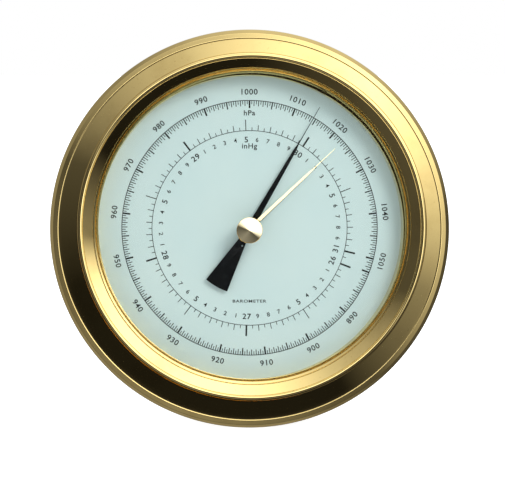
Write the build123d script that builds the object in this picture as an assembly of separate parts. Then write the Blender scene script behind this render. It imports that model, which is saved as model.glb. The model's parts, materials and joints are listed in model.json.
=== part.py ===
from build123d import *
from math import acos, atan2, cos, pi, radians, sin, sqrt, tan
import os

# Aneroid wall barometer in a turned brass case, dial facing -Y, hung on a wall whose surface is Y = 0.
# It is laid out lying on its back: x to the right and y up on the dial, z from the wall to the viewer,
# with the pointer arbor at x = y = 0. stand_up() turns every piece upright when it is written.

# ---- case and dial stack: radii and heights above the wall
CASE_RADIUS = 85.0
TOTAL_DEPTH = 53.4
DRUM_RADIUS = 77.0
DRUM_WALL = 1.5
THREAD_RADIUS = 76.3
BACK_THICKNESS = 1.5
DRUM_TOP = 44.0
DIAL_BACK = 36.0
DIAL_THICKNESS = 1.0
DIAL_RADIUS = 74.8
DIAL_TOP = DIAL_BACK + DIAL_THICKNESS
DIAL_HOLE_RADIUS = 4.0
SIGHT_RADIUS = 65.2
GLASS_RING_RADIUS = 74.2
GLASS_RING_SHIFT = (0.95, 1.4)
GLASS_THICKNESS = 2.0
GLASS_BACK = 45.0
GLASS_TOP = GLASS_BACK + GLASS_THICKNESS
GLASS_RADIUS = 70.4
GASKET_THICKNESS = 0.7
GLASS_HOLE_RADIUS = 2.7
BEZEL_SEAT_RADIUS = 70.8
BEZEL_BACK = 40.0
RUNNING_GAP = 0.05
DRUM_INSIDE = DRUM_RADIUS - DRUM_WALL
FLANGE_INSIDE = 69.5
DIAL_FOOT_X = 72.2
DIAL_FOOT_RADIUS = 0.9

# ---- hanging keyhole and holes in the back
KEYHOLE_Y = 50.0
KEYHOLE_RADIUS = 4.5
KEYHOLE_SLOT_WIDTH = 4.5
KEYHOLE_SLOT_RISE = 8.0
DRIVER_HOLE_RADIUS = 3.0
VENT_RADIUS = 1.5
BACK_SCREW_CIRCLE = 72.5
BACK_SCREW_ANGLES = (45, 135, 225, 315)

# ---- hands and setting knob
POINTER_Z = 39.0
POINTER_THICKNESS = 0.4
POINTER_LENGTH = 60.0
POINTER_TAIL = 28.7
POINTER_ANGLE = 60.0
SET_HAND_Z = 42.0
SET_HAND_THICKNESS = 0.3
SET_HAND_LENGTH = 50.0
SET_HAND_ANGLE = 43.3
KNOB_RADIUS = 5.5
KNOB_BACK = 48.7
KNOB_RIM_TOP = 51.0
KNOB_TOP = 52.2
KNOB_SHAFT_RADIUS = 1.5
BUSH_FLANGE_RADIUS = 4.6
BOSS_RADIUS = 1.6

# ---- movement plates
BASE_BACK = 5.0
BASE_THICKNESS = 2.0
BASE_TOP = BASE_BACK + BASE_THICKNESS
BASE_RADIUS = 63.0
BASE_FLAT_Y = 40.0
FRONT_PLATE_Z = 28.0
FRONT_PLATE_THICKNESS = 1.5
FRONT_PLATE_TOP = FRONT_PLATE_Z + FRONT_PLATE_THICKNESS
PILLAR_RADIUS = 2.5
PILLARS = ((-16, 14), (18, 10), (16, -54), (-8, -57))
SPACERS = ((47.6, 27.5), (-47.6, 27.5), (0, -55))
SCREW_RADIUS = 1.2
SCREW_HEAD_RADIUS = 2.2
SCREW_HEAD_HEIGHT = 1.3
JEWEL_RADIUS = 2.0
ADJUSTER_RADIUS = 2.0

# ---- gear train: a 12 tooth pinion and a sector cut from a 192 tooth wheel
MODULE = 0.4
PINION_TEETH = 12
WHEEL_TEETH = 192
PROFILE_SHIFT = 0.3
PRESSURE_ANGLE = radians(20)
BACKLASH = 0.03
PITCH_PINION = MODULE * PINION_TEETH / 2
PITCH_WHEEL = MODULE * WHEEL_TEETH / 2
SECTOR_AXIS_Y = -(PITCH_PINION + PITCH_WHEEL)
SECTOR_TEETH = 18
SECTOR_Z = 13.0
SECTOR_THICKNESS = 1.2
PINION_Z = 12.4
PINION_HEIGHT = 2.6
ARBOR_RADIUS = 0.8
PIVOT_RADIUS = 0.4
ARBOR_TOP = 40.2
SECTOR_HALF_ANGLE = (SECTOR_TEETH - 0.1) * 180 / WHEEL_TEETH
SECTOR_ARBOR_RADIUS = 1.2
SECTOR_HUB_RADIUS = 4.0
STOP_CIRCLE = 20.0
STOP_RADIUS = 1.0

# ---- hairspring on the pointer arbor
HAIRSPRING_Z = 20.0
HAIRSPRING_HEIGHT = 0.8
HAIRSPRING_INNER = 2.2
HAIRSPRING_OUTER = 8.0
HAIRSPRING_TURNS = 5
HAIRSPRING_THICKNESS = 0.12
HAIRSPRING_STUD_X = 9.2
HAIRSPRING_STUD_RADIUS = 1.0

# ---- how far each piece stands from the middle of its travel, with the pointer at 1014.4 hPa
DEGREES_PER_HPA = 2.08
LOW_HPA = 880.0
HIGH_HPA = 1050.0
REST_HPA = 1014.4
POINTER_FROM_MIDDLE = (REST_HPA - (LOW_HPA + HIGH_HPA) / 2) * DEGREES_PER_HPA
SECTOR_FROM_MIDDLE = POINTER_FROM_MIDDLE * PINION_TEETH / WHEEL_TEETH
SECTOR_TRAVEL = (HIGH_HPA - LOW_HPA) / 2 * DEGREES_PER_HPA * PINION_TEETH / WHEEL_TEETH
TAIL_ARM = 7.0
ROCKER_ARM = 10.0
ROCKER_PER_SECTOR = 0.6985
ROCKER_FROM_MIDDLE = SECTOR_FROM_MIDDLE * ROCKER_PER_SECTOR

# ---- rocking shaft, arms and link
ROCKER_X = -22.0
ROCKER_Z = 24.0
ROCKER_RADIUS = 1.5
ROCKER_LOW_Y = -50.7
ROCKER_HIGH_Y = -7.3
LINK_Y = SECTOR_AXIS_Y - TAIL_ARM
LINK_PIN_RADIUS = 0.6
LINK_Z = 14.6
LINK_THICKNESS = 0.8
BRACKET_SIZE = 5.0
ARM_THICKNESS = 0.8
DRIVE_ARM_LOW_Y = LINK_Y + 2.2
DRIVE_ARM_HIGH_Y = LINK_Y + 3.4

# ---- aneroid capsules
CAPSULE_X = ROCKER_X - ROCKER_ARM
CAPSULE_Y = -26.0
CAPSULE_RADIUS = 20.0
CAPSULE_HEIGHT = 3.5
CAPSULE_COUNT = 3
CAPSULE_BACK = 10.0
CAPSULE_HUB_RADIUS = 3.0
SPRING_BLADE_BACK = 8.6
SPRING_BLADE_THICKNESS = 0.8
CONTACT_GAP = 0.06
CAPSULE_TOP = CAPSULE_BACK + CAPSULE_HEIGHT * CAPSULE_COUNT
BLADE_BLOCK_X = (-57.5, -52.6)


def stand_up(shape):
    """Turns a piece from lying on its back to hanging on the wall."""
    return Rot(90, 0, 0) * shape


def save(name, *solids):
    """Writes one node; several solids stay separate in it."""
    upright = [stand_up(solid) for solid in solids]
    whole = upright[0] if len(upright) == 1 else Compound(children=upright)
    export_step(whole, f"parts/{name}.step")


def rod(radius, low, high, x=0.0, y=0.0):
    """A round bar along z."""
    return Pos(x, y, (low + high) / 2) * Cylinder(radius, high - low)


def rod_y(radius, low, high, x, z):
    """A round bar along y."""
    return Pos(x, (low + high) / 2, z) * Rot(90, 0, 0) * Cylinder(radius, high - low)


def block(x_range, y_range, z_range):
    """A box between three pairs of limits."""
    middle = [(low + high) / 2 for low, high in (x_range, y_range, z_range)]
    size = [high - low for low, high in (x_range, y_range, z_range)]
    return Pos(*middle) * Box(*size)


def ring(outer, inner, low, high):
    """A plain washer about the arbor."""
    return rod(outer, low, high) - rod(inner, low - 1, high + 1)


def turned(*edges):
    """Spins a closed outline of (radius, height) edges about the z axis."""
    return revolve(Plane.XZ * make_face(Curve() + list(edges)), Axis.Z)


def turned_polygon(*points):
    """Spins a closed outline of straight edges about the z axis."""
    return turned(Polyline(*points, close=True))


def plate(outline, low, high):
    """A flat plate from a closed outline in the dial plane."""
    return Pos(0, 0, low) * extrude(make_face(outline), high - low)


def polar(radius, degrees):
    return radius * cos(radians(degrees)), radius * sin(radians(degrees))


def slotted_screw(x, y, seat, length, head_down=False):
    """A cheese-head screw: its head stands on the seat height and its shank runs length into the work."""
    sign = -1 if head_down else 1
    head = rod(SCREW_HEAD_RADIUS, *sorted((seat, seat + sign * SCREW_HEAD_HEIGHT)), x, y)
    shank = rod(SCREW_RADIUS, *sorted((seat, seat - sign * length)), x, y)
    slot_depth = 0.5
    slot_z = seat + sign * (SCREW_HEAD_HEIGHT - slot_depth / 2)
    slot = Pos(x, y, slot_z) * Box(2 * SCREW_HEAD_RADIUS + 1, 0.5, slot_depth)
    return head + shank - slot


# ---------------------------------------------------------------- case

def bezel_ring():
    """The wide brass rim: a rounded edge, a narrow facet and a coved band, bored for the glass ring."""
    thread = THREAD_RADIUS + RUNNING_GAP
    edge_out = (CASE_RADIUS, 45.7)
    edge_top = (84.54, 47.29)
    facet_low = (83.4, 48.65)
    facet_high = (81.75, 49.15)
    band_low = (81.1, 49.05)
    band_high = (72.3, 53.15)
    bore_floor = GLASS_TOP
    edges = [
        Line((thread, BEZEL_BACK), (80.0, BEZEL_BACK)),
        Line((80.0, BEZEL_BACK), (81.0, BEZEL_BACK + 0.8)),
        Line((81.0, BEZEL_BACK + 0.8), (83.4, 44.1)),
        ThreePointArc((83.4, 44.1), (84.53, 44.57), edge_out),
        ThreePointArc(edge_out, (84.9, 46.48), edge_top),
        Line(edge_top, facet_low),
        ThreePointArc(facet_low, (82.58, 48.91), facet_high),
        ThreePointArc(facet_high, (81.4, 49.17), band_low),
        ThreePointArc(band_low, (76.8, 50.85), band_high),
        Line(band_high, (72.3, bore_floor)),
        Line((72.3, bore_floor), (BEZEL_SEAT_RADIUS, bore_floor)),
        Line((BEZEL_SEAT_RADIUS, bore_floor), (BEZEL_SEAT_RADIUS, DRUM_TOP + 0.4)),
        Line((BEZEL_SEAT_RADIUS, DRUM_TOP + 0.4), (thread, DRUM_TOP + 0.4)),
        Line((thread, DRUM_TOP + 0.4), (thread, BEZEL_BACK)),
    ]
    return turned(*edges) - rod(GLASS_RING_RADIUS, bore_floor, TOTAL_DEPTH + 1, *GLASS_RING_SHIFT)


def glass_ring():
    """The ring that holds the glass: ridge, inner slope and lip. It sits a little off centre."""
    ridge_low = (GLASS_RING_RADIUS, 52.33)
    crest = (72.8, TOTAL_DEPTH)
    ridge_in = (71.9, 53.16)
    slope_high = (71.6, 52.9)
    slope_low = (67.4, 49.5)
    lip_high = (67.1, 49.35)
    lip_low = (SIGHT_RADIUS, 47.25)
    edges = [
        Line((SIGHT_RADIUS, GLASS_TOP), (GLASS_RING_RADIUS, GLASS_TOP)),
        Line((GLASS_RING_RADIUS, GLASS_TOP), ridge_low),
        ThreePointArc(ridge_low, (73.83, 52.97), crest),
        ThreePointArc(crest, (72.3, 53.33), ridge_in),
        Line(ridge_in, (71.75, 52.85)),
        Line((71.75, 52.85), slope_high),
        ThreePointArc(slope_high, (69.5, 51.35), slope_low),
        Line(slope_low, (67.25, 49.25)),
        Line((67.25, 49.25), lip_high),
        Line(lip_high, lip_low),
        Line(lip_low, (SIGHT_RADIUS, GLASS_TOP)),
    ]
    return Pos(*GLASS_RING_SHIFT, 0) * turned(*edges)


def case_drum():
    """The drawn brass drum: a plain tube, stepped down at the front where the bezel screws on."""
    return turned_polygon(
        (DRUM_INSIDE, BACK_THICKNESS),
        (DRUM_RADIUS, BACK_THICKNESS),
        (DRUM_RADIUS, BEZEL_BACK - 0.4),
        (THREAD_RADIUS, BEZEL_BACK - 0.4),
        (THREAD_RADIUS, DRUM_TOP),
        (DRUM_INSIDE, DRUM_TOP),
    )


def rear_flange():
    """The ring soldered inside the drum's rear edge, tapped for the back's screws."""
    flange = ring(DRUM_INSIDE, FLANGE_INSIDE, BACK_THICKNESS, BACK_THICKNESS + 2.5)
    for angle in BACK_SCREW_ANGLES:
        flange -= rod(SCREW_RADIUS, 0, 5, *polar(BACK_SCREW_CIRCLE, angle))
    return flange


def dial_ledge():
    """The tapered ring soldered inside the drum that the dial lies on."""
    ledge = turned_polygon(
        (FLANGE_INSIDE, DIAL_BACK),
        (DRUM_INSIDE, DIAL_BACK),
        (DRUM_INSIDE, DIAL_BACK - 5),
        (FLANGE_INSIDE, DIAL_BACK - 1.6),
    )
    for x in (-DIAL_FOOT_X, DIAL_FOOT_X):
        ledge -= rod(DIAL_FOOT_RADIUS + RUNNING_GAP, DIAL_BACK - 5.5, DIAL_BACK + 1, x, 0)
    return ledge


def countersink(x, y):
    """The cone that a flat-head screw fills in the back plate."""
    top = BACK_THICKNESS - 0.1
    return Pos(x, y, top / 2) * Cone(SCREW_HEAD_RADIUS + 0.3, SCREW_RADIUS, top)


def back_plate():
    """The brass back with its hanging keyhole, driver hole, vents and countersunk screw holes."""
    disc = rod(DRUM_RADIUS, 0, BACK_THICKNESS)
    keyhole = rod(KEYHOLE_RADIUS, -1, 3, 0, KEYHOLE_Y)
    keyhole += rod(KEYHOLE_SLOT_WIDTH / 2, -1, 3, 0, KEYHOLE_Y + KEYHOLE_SLOT_RISE)
    half = KEYHOLE_SLOT_WIDTH / 2
    keyhole += block((-half, half), (KEYHOLE_Y, KEYHOLE_Y + KEYHOLE_SLOT_RISE), (-1, 3))
    disc -= keyhole
    disc -= rod(DRIVER_HOLE_RADIUS, -1, 3, CAPSULE_X, CAPSULE_Y)
    for angle in (-20, 0, 20):
        disc -= rod(VENT_RADIUS, -1, 3, *polar(60, angle))
    for x, y in screw_places():
        disc -= rod(SCREW_RADIUS, -1, 3, x, y) + countersink(x, y)
    return disc


def screw_places():
    """Where the back is pierced for its own four screws and the three that carry the movement."""
    return [polar(BACK_SCREW_CIRCLE, angle) for angle in BACK_SCREW_ANGLES] + list(SPACERS)


def flat_head_screw(x, y, length):
    """A countersunk screw flush with the back plate."""
    screw = countersink(x, y) + rod(SCREW_RADIUS, BACK_THICKNESS - 0.1, length, x, y)
    return screw - Pos(x, y, 0.2) * Box(6, 0.5, 0.4)


def back_screws():
    return [flat_head_screw(*polar(BACK_SCREW_CIRCLE, angle), 3.9) for angle in BACK_SCREW_ANGLES]


# ---------------------------------------------------------------- glass and dial


def glass_pane():
    return ring(GLASS_RADIUS, GLASS_HOLE_RADIUS, GLASS_BACK, GLASS_TOP)


def glass_gasket():
    return ring(GLASS_RADIUS - 0.2, SIGHT_RADIUS + 2.2, GLASS_BACK - GASKET_THICKNESS, GLASS_BACK)


def spacer_ring():
    """The brass distance ring between dial and glass, with a flange that rides in the drum."""
    top = GLASS_BACK - GASKET_THICKNESS
    return turned_polygon(
        (SIGHT_RADIUS - 0.3, DIAL_TOP),
        (SIGHT_RADIUS + 1.2, DIAL_TOP),
        (SIGHT_RADIUS + 1.8, top - 1.5),
        (DRUM_INSIDE - 0.3, top - 1.5),
        (DRUM_INSIDE - 0.3, top),
        (SIGHT_RADIUS + 0.4, top),
    )


def dial_plate():
    dial = ring(DIAL_RADIUS, DIAL_HOLE_RADIUS, DIAL_BACK, DIAL_TOP)
    for x in (-DIAL_FOOT_X, DIAL_FOOT_X):
        dial -= rod(DIAL_FOOT_RADIUS, DIAL_BACK - 1, DIAL_TOP + 1, x, 0)
    return dial


def dial_feet():
    """Two pins riveted through the dial's edge, which stop it turning on its ledge."""
    return [rod(DIAL_FOOT_RADIUS, DIAL_BACK - 4.5, DIAL_TOP, x, 0) for x in (-DIAL_FOOT_X, DIAL_FOOT_X)]


# ---------------------------------------------------------------- hands and knob

def pointer():
    """The black hand: a tapering blade that ends in a needle, and a flared tail."""
    hub = 3.2
    neck, neck_half = -6.6, 1.9
    blade = Polyline(
        (neck, neck_half),
        (0, 1.5),
        (6, 1.35),
        (39, 0.62),
        (42, 0.2),
        (POINTER_LENGTH, 0.1),
        (POINTER_LENGTH, -0.1),
        (42, -0.2),
        (39, -0.62),
        (6, -1.35),
        (0, -1.5),
        (neck, -neck_half),
    )
    corner = (-POINTER_TAIL + 0.5, 5.2)
    tail_side = Line((neck, neck_half), corner)
    tail_end = ThreePointArc(corner, (-POINTER_TAIL, 0), (corner[0], -corner[1]))
    tail_back = Line((corner[0], -corner[1]), (neck, -neck_half))
    high = POINTER_Z + POINTER_THICKNESS
    hand = plate(Curve() + [blade, tail_side, tail_end, tail_back], POINTER_Z, high)
    hand += rod(hub, POINTER_Z, high)
    hand -= rod(BOSS_RADIUS, POINTER_Z - 1, high + 1)
    hand -= rod(0.35, POINTER_Z - 1, high + 1, -8.0, -1.0)
    return Rot(0, 0, POINTER_ANGLE) * hand


def pointer_boss():
    """The brass tube that the pointer is riveted to and that pushes onto the arbor."""
    boss = ring(BOSS_RADIUS, ARBOR_RADIUS, DIAL_TOP - 1.4, ARBOR_TOP)
    return boss + ring(2.6, ARBOR_RADIUS, POINTER_Z - 0.9, POINTER_Z)


def set_hand():
    """The bright hand that marks the last reading."""
    outline = Polyline(
        (0, 0.88),
        (34, 0.5),
        (36, 0.42),
        (39, 0.2),
        (SET_HAND_LENGTH, 0.1),
        (SET_HAND_LENGTH, -0.1),
        (39, -0.2),
        (36, -0.42),
        (34, -0.5),
        (0, -0.88),
        close=True,
    )
    high = SET_HAND_Z + SET_HAND_THICKNESS
    hand = plate(outline, SET_HAND_Z, high) + rod(3.0, SET_HAND_Z, high)
    hand -= rod(KNOB_SHAFT_RADIUS, SET_HAND_Z - 1, high + 1)
    return Rot(0, 0, SET_HAND_ANGLE) * hand


def set_knob():
    """The turned knob on the glass with its shaft through the bush."""
    chamfer = 0.12
    return turned_polygon(
        (0, SET_HAND_Z - 0.5),
        (KNOB_SHAFT_RADIUS, SET_HAND_Z - 0.5),
        (KNOB_SHAFT_RADIUS, KNOB_BACK),
        (KNOB_RADIUS - chamfer, KNOB_BACK),
        (KNOB_RADIUS, KNOB_BACK + chamfer),
        (KNOB_RADIUS, KNOB_RIM_TOP - chamfer),
        (KNOB_RADIUS - chamfer, KNOB_RIM_TOP),
        (0, KNOB_TOP),
    )


def knob_bush():
    """The flanged bush through the glass."""
    bore = KNOB_SHAFT_RADIUS + RUNNING_GAP
    tube = ring(GLASS_HOLE_RADIUS - 0.1, bore, GLASS_BACK - 1.9, GLASS_TOP)
    return tube + ring(BUSH_FLANGE_RADIUS, bore, GLASS_TOP, GLASS_TOP + 1.0)


def bush_nut():
    """The thin round nut that clamps the bush behind the glass."""
    nut = ring(4.4, GLASS_HOLE_RADIUS - 0.1, GLASS_BACK - 1.3, GLASS_BACK)
    for x in (-3.6, 3.6):
        nut -= Pos(x, 0, GLASS_BACK - 1.3) * Box(1.0, 0.9, 1.0)
    return nut


def friction_washer():
    """The wavy spring washer under the knob, drawn at its loaded height."""
    return ring(3.8, KNOB_SHAFT_RADIUS + 0.15, GLASS_TOP + 1.05, KNOB_BACK - 0.05)


# ---------------------------------------------------------------- movement frame

def base_plate():
    """The brass plate that carries the capsules and the train."""
    disc = rod(BASE_RADIUS, BASE_BACK, BASE_TOP)
    disc -= block((-80, 80), (BASE_FLAT_Y, 80), (BASE_BACK - 1, BASE_TOP + 1))
    lightening = rod(11, BASE_BACK - 1, BASE_TOP + 1, 38, -14) + rod(7, BASE_BACK - 1, BASE_TOP + 1, -36, 8)
    disc -= lightening
    disc -= rod(JEWEL_RADIUS, BASE_BACK - 1, BASE_TOP + 1)
    disc -= rod(JEWEL_RADIUS, BASE_BACK - 1, BASE_TOP + 1, 0, SECTOR_AXIS_Y)
    disc -= rod(ADJUSTER_RADIUS + RUNNING_GAP, BASE_BACK - 1, BASE_TOP + 1, CAPSULE_X, CAPSULE_Y)
    for x, y in PILLARS + bracket_places() + block_screw_places():
        disc -= rod(SCREW_RADIUS, BASE_BACK - 1, BASE_TOP + 1, x, y)
    for x, y in SPACERS:
        disc -= rod(SCREW_RADIUS, BASE_BACK - 1, BASE_TOP + 1, x, y)
    return disc


def base_spacers():
    """Three tubes that hold the movement off the back."""
    tubes = []
    for x, y in SPACERS:
        tube = rod(3.5, BACK_THICKNESS, BASE_BACK, x, y)
        tubes.append(tube - rod(SCREW_RADIUS, 0, 8, x, y))
    return tubes


def base_screws():
    return [flat_head_screw(x, y, BASE_TOP) for x, y in SPACERS]


def pillars():
    """Four turned posts between the plates, tapped at both ends."""
    posts = []
    for x, y in PILLARS:
        post = rod(PILLAR_RADIUS, BASE_TOP, FRONT_PLATE_Z, x, y)
        post -= rod(SCREW_RADIUS, BASE_TOP - 1, BASE_TOP + 6, x, y)
        post -= rod(SCREW_RADIUS, FRONT_PLATE_Z - 6, FRONT_PLATE_Z + 1, x, y)
        posts.append(post)
    return posts


def pillar_screws():
    """Eight cheese-head screws, one in each end of each pillar."""
    front = [slotted_screw(x, y, FRONT_PLATE_TOP, 6) for x, y in PILLARS]
    rear = [slotted_screw(x, y, BASE_BACK, 6, head_down=True) for x, y in PILLARS]
    return front + rear


def front_plate():
    """The upper plate: a rounded frame over the four pillars with the two bearings in it."""
    margin = 5.0
    solid = plate(Polyline(*PILLARS, close=True), FRONT_PLATE_Z, FRONT_PLATE_TOP)
    around = PILLARS[1:] + PILLARS[:1]
    for (x0, y0), (x1, y1) in zip(PILLARS, around):
        length = sqrt((x1 - x0) ** 2 + (y1 - y0) ** 2)
        angle = atan2(y1 - y0, x1 - x0) * 180 / pi
        edge = Box(length, 2 * margin, FRONT_PLATE_THICKNESS)
        middle = Pos((x0 + x1) / 2, (y0 + y1) / 2, (FRONT_PLATE_Z + FRONT_PLATE_TOP) / 2)
        solid += middle * Rot(0, 0, angle) * edge
        solid += rod(margin, FRONT_PLATE_Z, FRONT_PLATE_TOP, x0, y0)
    window = rod(7.5, FRONT_PLATE_Z - 1, FRONT_PLATE_TOP + 1, 3, -20)
    solid -= window
    for x, y in PILLARS:
        solid -= rod(SCREW_RADIUS, FRONT_PLATE_Z - 1, FRONT_PLATE_TOP + 1, x, y)
    for y in (0, SECTOR_AXIS_Y):
        solid -= rod(JEWEL_RADIUS, FRONT_PLATE_Z - 1, FRONT_PLATE_TOP + 1, 0, y)
    return solid - rod(HAIRSPRING_STUD_RADIUS, FRONT_PLATE_Z - 1, FRONT_PLATE_TOP + 1, HAIRSPRING_STUD_X, 0)


# ---------------------------------------------------------------- gears

def involute(angle):
    return tan(angle) - angle


def flank(teeth, shift):
    """Points of one flank as (radius, half angle of the tooth there), from the root to the tip."""
    pitch = MODULE * teeth / 2
    base = pitch * cos(PRESSURE_ANGLE)
    tip = pitch + MODULE * (1 + shift)
    root = pitch - MODULE * (1.25 - shift)
    thickness = MODULE * (pi / 2 + 2 * shift * tan(PRESSURE_ANGLE)) - BACKLASH
    half_at_pitch = thickness / (2 * pitch) + involute(PRESSURE_ANGLE)
    steps = 4
    start = max(base, root)
    points = []
    for i in range(steps + 1):
        radius = start + (tip - start) * i / steps
        points.append((radius, half_at_pitch - involute(acos(min(1.0, base / radius)))))
    if root < base:
        points.insert(0, (root, points[0][1]))
    return points


def tooth_edges(teeth, shift, centre):
    """One tooth about the direction centre, in radians: two flanks and a tip land."""
    side = flank(teeth, shift)
    right = [(r * cos(centre - half), r * sin(centre - half)) for r, half in side]
    left = [(r * cos(centre + half), r * sin(centre + half)) for r, half in reversed(side)]
    return [Polyline(*right), Line(right[-1], left[0]), Polyline(*left)]


def gear_outline(teeth, shift, centres):
    """Neighbouring teeth joined by straight root lands."""
    edges = []
    ends = []
    for centre in centres:
        tooth = tooth_edges(teeth, shift, centre)
        if ends:
            edges.append(Line(ends[-1], tooth[0] @ 0))
        edges += tooth
        ends.append(tooth[2] @ 1)
    return edges


def pinion_arbor():
    """The steel arbor with its pinion cut in the solid; it carries the pointer."""
    pitch_angle = 2 * pi / PINION_TEETH
    centres = [-pi / 2 + pitch_angle * i for i in range(PINION_TEETH)]
    edges = gear_outline(PINION_TEETH, PROFILE_SHIFT, centres)
    edges.append(Line(edges[-1] @ 1, edges[0] @ 0))
    pinion = plate(Curve() + edges, PINION_Z, PINION_Z + PINION_HEIGHT)
    pinion = Rot(0, 0, -POINTER_FROM_MIDDLE) * pinion
    arbor = rod(ARBOR_RADIUS, BASE_TOP + 0.3, ARBOR_TOP)
    return pinion + arbor + rod(PIVOT_RADIUS, BASE_BACK + 0.3, BASE_TOP + 0.4)


def bearing(x, y, low, high, bore):
    return rod(JEWEL_RADIUS, low, high, x, y) - rod(bore + 0.04, low - 1, high + 1, x, y)


def arbor_bearings():
    """The two bushes of the pointer arbor."""
    return [
        bearing(0, 0, BASE_BACK, BASE_TOP, PIVOT_RADIUS),
        bearing(0, 0, FRONT_PLATE_Z, FRONT_PLATE_TOP, ARBOR_RADIUS),
    ]


def sector_bearings():
    """The two bushes of the sector arbor."""
    return [
        bearing(0, SECTOR_AXIS_Y, BASE_BACK, BASE_TOP, PIVOT_RADIUS),
        bearing(0, SECTOR_AXIS_Y, FRONT_PLATE_Z, FRONT_PLATE_TOP, PIVOT_RADIUS),
    ]


def at_sector(shape, turn=SECTOR_FROM_MIDDLE):
    """Places a piece drawn about the sector's own axis, turned from the middle of its travel."""
    return Pos(0, SECTOR_AXIS_Y, 0) * Rot(0, 0, turn) * shape


def sector_gear():
    """A toothed rim on two spokes, with a tail lobe for the link pin."""
    low, high = SECTOR_Z, SECTOR_Z + SECTOR_THICKNESS
    pitch_angle = 2 * pi / WHEEL_TEETH
    first = pi / 2 - pitch_angle * (SECTOR_TEETH - 1) / 2
    centres = [first + pitch_angle * i for i in range(SECTOR_TEETH)]
    edges = gear_outline(WHEEL_TEETH, -PROFILE_SHIFT, centres)
    start, end = edges[0] @ 0, edges[-1] @ 1
    edges += [Line(end, (0, 0)), Line((0, 0), start)]
    wedge = plate(Curve() + edges, low, high)
    inner = 14.0
    outer = PITCH_WHEEL - 5.0
    spread = SECTOR_HALF_ANGLE - 3.6
    places = ((inner, -spread), (outer, -spread), (outer, spread), (inner, spread))
    corners = [polar(radius, 90 + turn) for radius, turn in places]
    window = [
        Line(corners[0], corners[1]),
        ThreePointArc(corners[1], (0, outer), corners[2]),
        Line(corners[2], corners[3]),
        ThreePointArc(corners[3], (0, inner), corners[0]),
    ]
    wedge -= plate(Curve() + window, low - 1, high + 1)
    tail = block((-1.8, 1.8), (-TAIL_ARM, 0), (low, high)) + rod(1.8, low, high, 0, -TAIL_ARM)
    gear = wedge + tail + rod(SECTOR_HUB_RADIUS, low - 0.8, high + 0.8)
    gear -= rod(SECTOR_ARBOR_RADIUS, low - 2, high + 2)
    gear -= rod(LINK_PIN_RADIUS, low - 1, high + 1, 0, -TAIL_ARM)
    return at_sector(gear)


def link_pin():
    """The pin riveted into the sector's tail, with a head over the link."""
    pin = rod(LINK_PIN_RADIUS, SECTOR_Z, LINK_Z + 1.2, 0, -TAIL_ARM)
    head = rod(1.1, LINK_Z + LINK_THICKNESS + 0.15, LINK_Z + LINK_THICKNESS + 0.7, 0, -TAIL_ARM)
    return at_sector(pin + head)


def sector_arbor():
    arbor = rod(SECTOR_ARBOR_RADIUS, BASE_TOP + 0.3, FRONT_PLATE_Z - 0.3)
    arbor += rod(PIVOT_RADIUS, BASE_BACK + 0.3, BASE_TOP + 0.4)
    return at_sector(arbor + rod(PIVOT_RADIUS, FRONT_PLATE_Z - 0.4, FRONT_PLATE_TOP - 0.3))


def sector_stops():
    """Two pins that the sector's spokes meet just past each end of the scale."""
    margin = (STOP_RADIUS + 0.35) / STOP_CIRCLE * 180 / pi
    swing = SECTOR_HALF_ANGLE + SECTOR_TRAVEL + margin
    pin = rod(STOP_RADIUS, BASE_TOP, SECTOR_Z + 2, 0, STOP_CIRCLE)
    return [at_sector(pin, turn) for turn in (-swing, swing)]


# ---------------------------------------------------------------- hairspring

def hairspring():
    """A flat spiral that keeps the train's play to one side."""
    steps_per_turn = 12
    steps = steps_per_turn * HAIRSPRING_TURNS

    def side(offset):
        points = []
        for i in range(steps + 1):
            radius = HAIRSPRING_INNER + (HAIRSPRING_OUTER - HAIRSPRING_INNER) * i / steps + offset
            points.append(polar(radius, 360 * i / steps_per_turn))
        return points

    inside = side(-HAIRSPRING_THICKNESS / 2)
    outside = side(HAIRSPRING_THICKNESS / 2)
    edges = [
        Spline(*inside),
        Line(inside[-1], outside[-1]),
        Spline(*reversed(outside)),
        Line(outside[0], inside[0]),
    ]
    return plate(Curve() + edges, HAIRSPRING_Z, HAIRSPRING_Z + HAIRSPRING_HEIGHT)


def hairspring_collet():
    top = HAIRSPRING_Z + HAIRSPRING_HEIGHT
    return ring(HAIRSPRING_INNER - 0.15, ARBOR_RADIUS, HAIRSPRING_Z - 0.2, top + 0.2)


def hairspring_stud():
    """The post that holds the spring's outer end."""
    return rod(HAIRSPRING_STUD_RADIUS, HAIRSPRING_Z - 0.4, FRONT_PLATE_TOP, HAIRSPRING_STUD_X, 0)


# ---------------------------------------------------------------- rocking shaft and link

def at_rocker(shape):
    """Turns a piece drawn at the middle of its travel about the rocking shaft to its rest place."""
    there = Pos(ROCKER_X, 0, ROCKER_Z)
    back = Pos(-ROCKER_X, 0, -ROCKER_Z)
    return there * Rot(0, -ROCKER_FROM_MIDDLE, 0) * back * shape


def rocking_shaft():
    shaft = rod_y(ROCKER_RADIUS, ROCKER_LOW_Y, ROCKER_HIGH_Y, ROCKER_X, ROCKER_Z)
    pivot = 1.2
    return shaft + rod_y(PIVOT_RADIUS, ROCKER_LOW_Y - pivot, ROCKER_HIGH_Y + pivot, ROCKER_X, ROCKER_Z)


def bimetal_arm():
    """The temperature-compensating strip that rests on the capsule stud, on its own collar."""
    half_width = 2.5
    low, high = CAPSULE_Y - half_width, CAPSULE_Y + half_width
    collar = rod_y(ROCKER_RADIUS + 1.2, low, high, ROCKER_X, ROCKER_Z)
    half = ARM_THICKNESS / 2
    strip = block((CAPSULE_X - 2.5, ROCKER_X), (low, high), (ROCKER_Z - half, ROCKER_Z + half))
    bore = rod_y(ROCKER_RADIUS, low - 1, high + 1, ROCKER_X, ROCKER_Z)
    return at_rocker(collar + strip - bore)


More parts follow.
